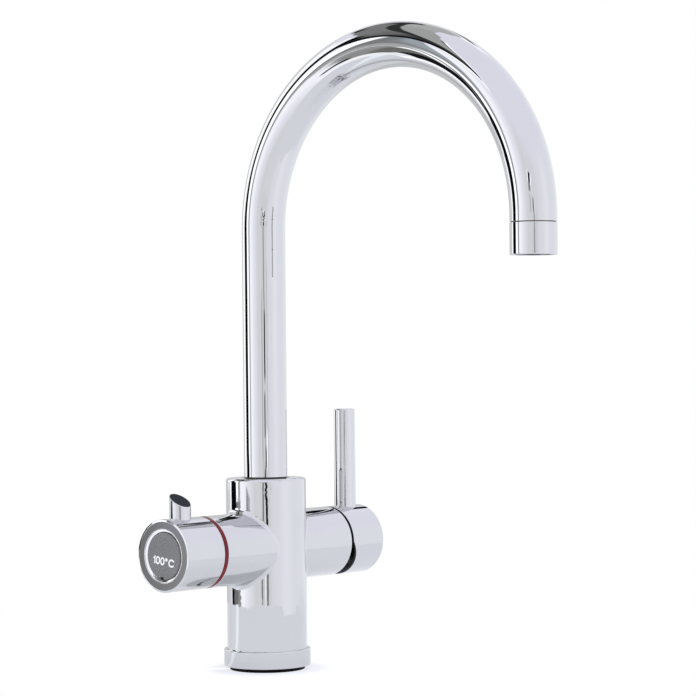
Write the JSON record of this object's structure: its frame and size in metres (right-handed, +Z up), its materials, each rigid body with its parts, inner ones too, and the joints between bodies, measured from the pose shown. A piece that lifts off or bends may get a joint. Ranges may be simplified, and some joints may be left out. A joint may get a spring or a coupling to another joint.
{
  "type": "boiling water tap",
  "caption": "Swan-neck kitchen tap that gives boiling, hot and cold water: swivel spout, boiling knob with a sprung safety button, side mixer lever, threaded inlets.",
  "frame": {"origin": "on the column's axis at the deck plane, the mouth of the fixing-stud hole", "axes": "+Z up along the column, -Y front where the spout points, -X the boiling arm, +X the mixer arm"},
  "size_m": [0.1685, 0.2431, 0.3775],
  "materials": {
    "chrome": "polished chrome plate; satin on the knob's end face",
    "rubber": "black moulded rubber",
    "brass": "machined brass",
    "steel": "turned stainless steel",
    "black_plastic": "moulded dark acetal",
    "white_plastic": "moulded white acetal",
    "ceramic": "lapped alumina",
    "red_plastic": "dark red gloss",
    "button_plastic": "dark grey satin with a printed temperature mark",
    "silicone": "clear-white silicone hose"
  },
  "bodies": {
    "base": {"body_casting": "chrome", "base_ring": "chrome", "base_gasket": "rubber", "inlet_manifold": "brass", "manifold_o_rings": "rubber", "manifold_screws": "steel", "swivel_bush": "black_plastic", "spout_grub_screw": "steel", "red_ring": "red_plastic", "boiling_valve": "brass", "valve_seal": "rubber", "valve_fixed_disc": "ceramic", "valve_lock_nut": "brass", "knob_guide_ring": "white_plastic", "mixer_cartridge": "white_plastic", "port_seals": "rubber", "mixer_fixed_disc": "ceramic", "cartridge_nut": "brass", "cartridge_dome": "black_plastic"},
    "spout": {"spout_tube": "chrome", "spout_spigot": "brass", "spigot_o_rings": "rubber", "boiling_hose": "silicone", "nozzle_adaptor": "brass", "outlet_nozzle": "chrome", "nozzle_o_ring": "rubber", "flow_straightener": "black_plastic", "aerator_screen": "steel", "boiling_tip": "rubber"},
    "knob": {"knob_shell": "chrome", "knob_pin": "chrome", "pin_stud": "steel", "knob_insert": "white_plastic", "knob_screw": "steel", "button_trim_ring": "chrome", "button_spring": "steel", "valve_spindle": "brass", "spindle_o_ring": "rubber", "valve_moving_disc": "ceramic"},
    "button": {"safety_button": "button_plastic"},
    "carrier": {"cartridge_carrier": "white_plastic", "stem_pin": "steel"},
    "lever": {"mixer_cap": "chrome", "mixer_lever": "chrome", "cartridge_stem": "steel", "cap_grub_screw": "steel"},
    "disc": {"mixer_moving_disc": "ceramic", "disc_driver": "black_plastic"}
  },
  "joints": [
    {"name": "spout_swivel", "type": "hinge", "parent": "base", "child": "spout", "pos_m": [0, 0, 0.1], "axis": [0, 0, 1], "range_deg": [-75, 75]},
    {"name": "boiling_knob_turn", "type": "hinge", "parent": "base", "child": "knob", "pos_m": [-0.06, 0, 0.073], "axis": [1, 0, 0], "range_deg": [0, 90]},
    {"name": "safety_button_press", "type": "slide", "parent": "knob", "child": "button", "axis": [1, 0, 0], "range_m": [0, 0.0025], "stiffness_N_per_m": 300, "springref_m": -0.004, "deforming": ["button_spring"]},
    {"name": "mixer_temperature", "type": "hinge", "parent": "base", "child": "carrier", "pos_m": [0.0535, 0, 0.073], "axis": [1, 0, 0], "range_deg": [-45, 45]},
    {"name": "mixer_flow", "type": "hinge", "parent": "carrier", "child": "lever", "pos_m": [0.0535, 0, 0.073], "axis": [0, 1, 0], "range_deg": [0, 16]},
    {"name": "mixer_disc_slide", "type": "slide", "parent": "carrier", "child": "disc", "axis": [0, 0, 1], "range_m": [0, 0.0038]}
  ],
  "couplings": [
    {"joint": "mixer_disc_slide", "follows": "mixer_flow", "m_per_rad": 0.0135}
  ]
}
